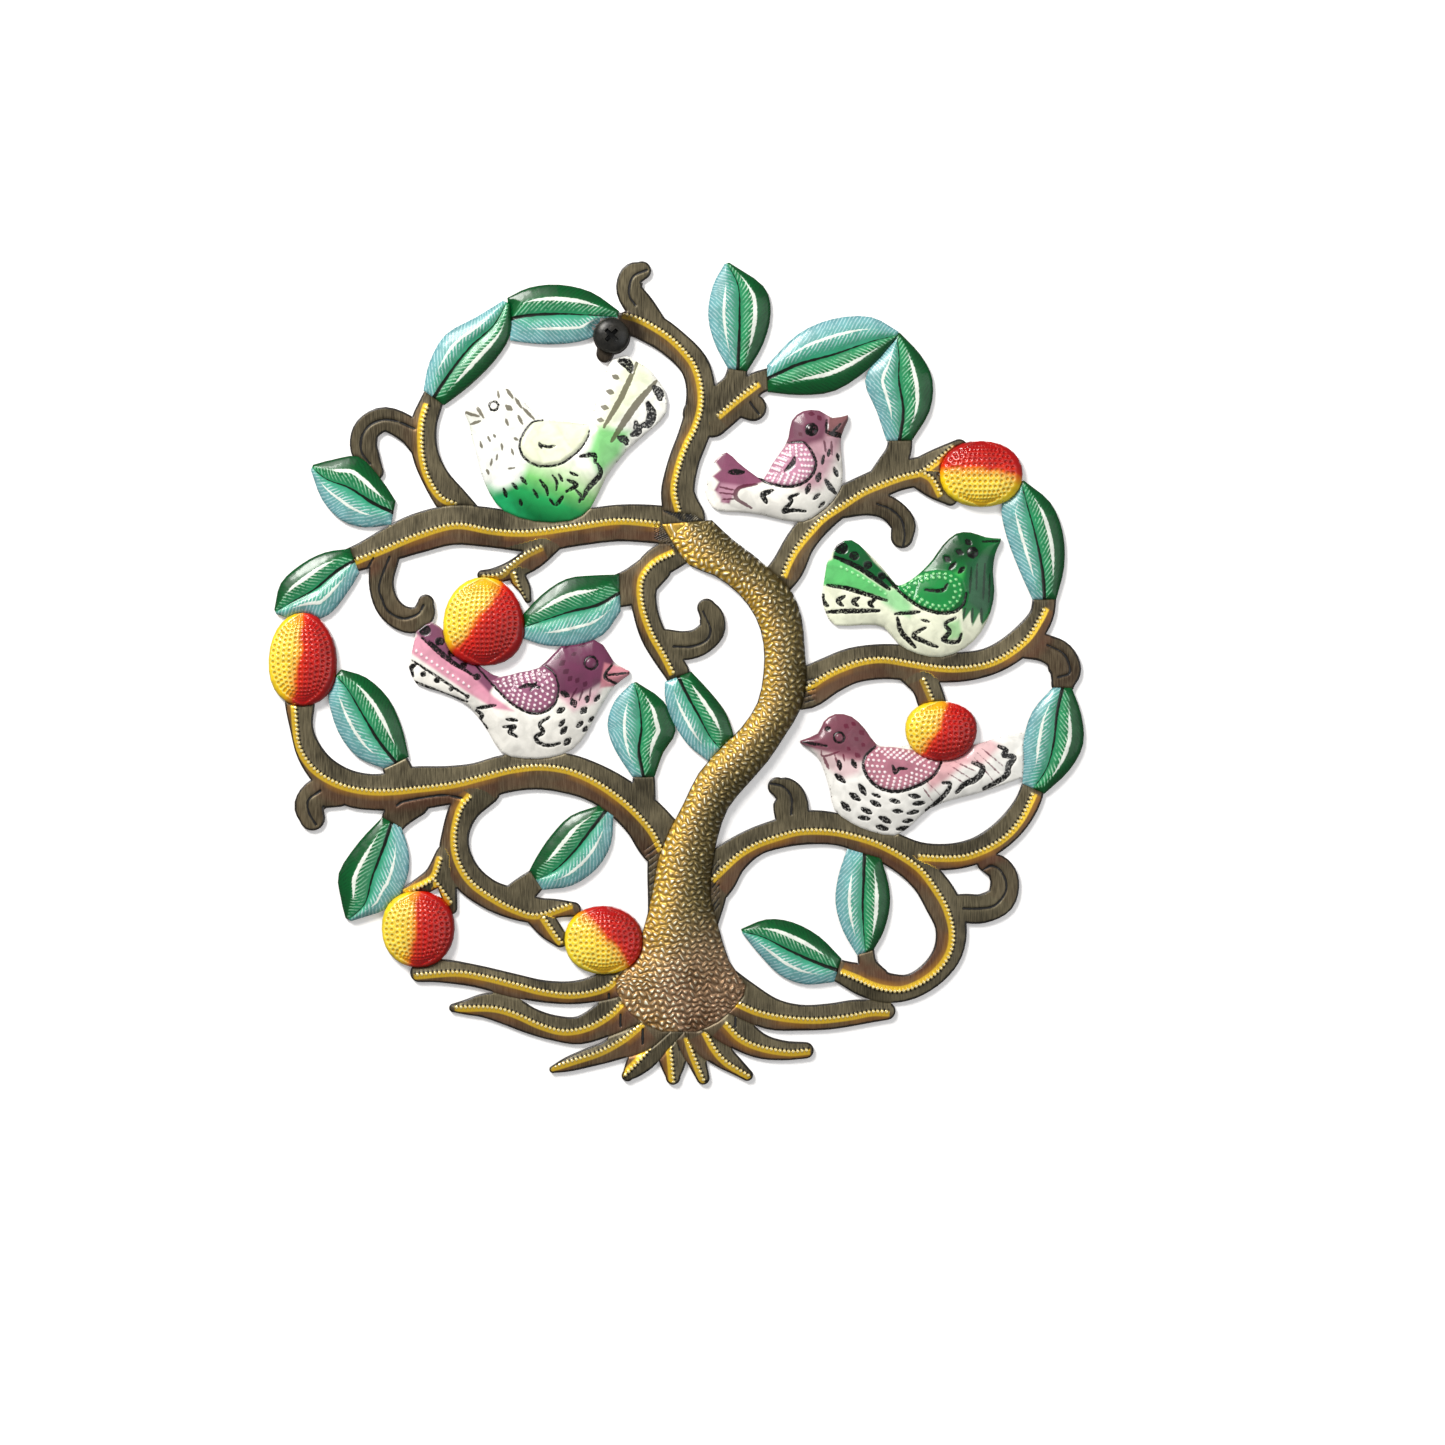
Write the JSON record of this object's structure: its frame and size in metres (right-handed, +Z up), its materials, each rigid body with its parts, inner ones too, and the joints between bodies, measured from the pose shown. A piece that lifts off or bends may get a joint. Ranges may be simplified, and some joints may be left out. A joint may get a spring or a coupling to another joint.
{
  "type": "tree of life wall sculpture",
  "caption": "Round wall tree cut from one steel sheet, with raised and painted leaves, fruits and birds, hung by one round-head screw.",
  "frame": {"origin": "the screw's axis where it meets the wall plane, which is also the back of the flat sheet", "axes": "+Z up, +X to the right seen from the front, -Y out of the wall towards the viewer, +Y into the wall along the screw"},
  "size_m": [0.2771, 0.0364, 0.2799],
  "materials": {
    "bare_steel": "bare brushed drum steel with brown patina, satin",
    "trunk_steel": "hammered steel with gold and brown patina, satin",
    "leaf_green_paint": "green and pale blue paint, gloss",
    "leaf_blue_paint": "pale blue and green paint, gloss",
    "fruit_red_paint": "red and yellow paint over punched dots, gloss",
    "fruit_yellow_paint": "yellow and red paint over punched dots, gloss",
    "bird_cream_paint": "cream and green paint, gloss",
    "bird_mauve_paint": "mauve and white paint, gloss",
    "bird_green_paint": "green and cream paint, gloss",
    "bird_plum_paint": "plum and white paint, gloss",
    "bird_pink_paint": "pink and white paint, gloss",
    "screw_black": "black phosphate, satin"
  },
  "bodies": {
    "screw": {"wall_screw": "screw_black"},
    "tree": {"trunk": "trunk_steel", "limb_perch": "bare_steel", "limb_arc": "bare_steel", "limb_top": "bare_steel", "limb_right": "bare_steel", "limb_mid_right": "bare_steel", "limb_low_right": "bare_steel", "limb_low_left": "bare_steel", "limb_twig": "bare_steel", "root_far_left": "bare_steel", "root_left": "bare_steel", "root_low_left": "bare_steel", "root_toe_left": "bare_steel", "root_toe_mid": "bare_steel", "root_toe_right": "bare_steel", "root_low_right": "bare_steel", "root_right": "bare_steel", "root_far_right": "bare_steel", "leaf_top_left": "leaf_green_paint", "leaf_screw": "leaf_green_paint", "leaf_top": "leaf_green_paint", "leaf_top_right": "leaf_blue_paint", "leaf_right_upper": "leaf_green_paint", "leaf_right": "leaf_blue_paint", "leaf_right_lower": "leaf_green_paint", "leaf_left_upper": "leaf_green_paint", "leaf_left": "leaf_blue_paint", "leaf_left_lower": "leaf_green_paint", "leaf_mid_left": "leaf_blue_paint", "leaf_mid": "leaf_green_paint", "leaf_mid_right": "leaf_blue_paint", "leaf_low_left": "leaf_green_paint", "leaf_low_mid": "leaf_blue_paint", "leaf_low_right": "leaf_green_paint", "leaf_low_hanging": "leaf_blue_paint", "fruit_left": "fruit_red_paint", "fruit_mid_left": "fruit_red_paint", "fruit_right_upper": "fruit_yellow_paint", "fruit_right": "fruit_yellow_paint", "fruit_low_left": "fruit_red_paint", "fruit_low_mid": "fruit_yellow_paint", "bird_top_left": "bird_cream_paint", "bird_top_mid": "bird_mauve_paint", "bird_right": "bird_green_paint", "bird_left": "bird_plum_paint", "bird_low_right": "bird_pink_paint"}
  },
  "joints": [
    {"name": "hang_pivot", "type": "hinge", "parent": "screw", "child": "tree", "pos_m": [0, 0, 0], "axis": [0, 1, 0], "continuous": true}
  ]
}
